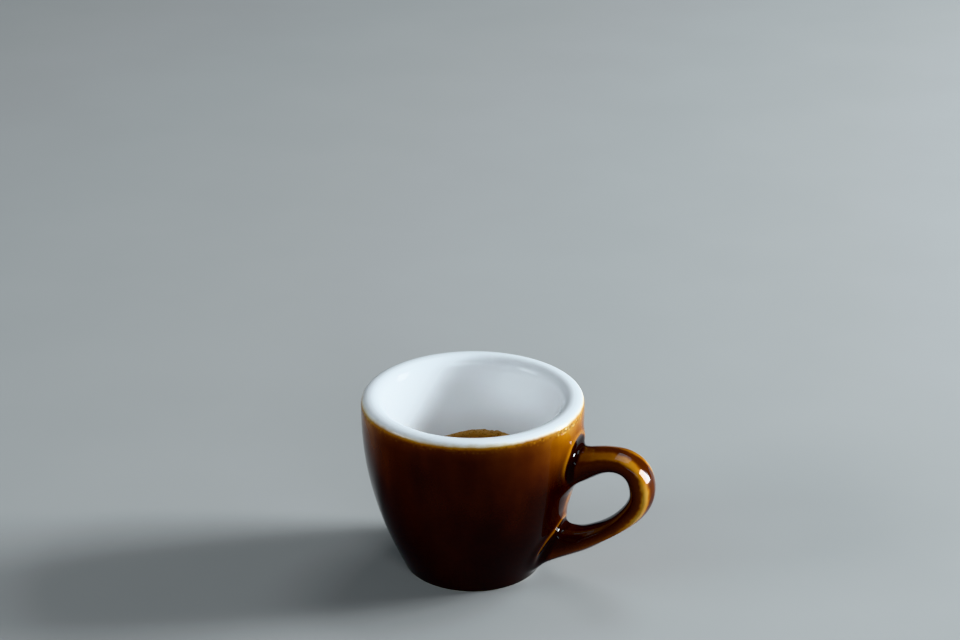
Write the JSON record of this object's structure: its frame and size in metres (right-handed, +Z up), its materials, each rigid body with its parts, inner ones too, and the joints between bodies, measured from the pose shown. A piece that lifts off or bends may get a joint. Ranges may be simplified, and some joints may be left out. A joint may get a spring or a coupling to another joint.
{
  "type": "espresso shot in a cup",
  "caption": "Thick-walled glazed cup with a rounded white rim, a foot ring and a looped handle, part filled with espresso under a layer of crema.",
  "frame": {"origin": "middle of the footprint, handle included, on the surface that the cup stands on", "axes": "+Z up along the cup's axis, +X towards the handle, +Y across the handle"},
  "size_m": [0.0884, 0.065, 0.054],
  "materials": {
    "glaze": "glossy amber-brown glaze outside, thin and golden on edges, dark where it pools; glossy white glaze on the rim and inside; bare foot",
    "crema": "wet hazel-brown foam, satin, mottled, with a paler ring of bubbles at the wall"
  },
  "bodies": {
    "root": {"cup": "glaze", "espresso": "crema"}
  },
  "joints": []
}
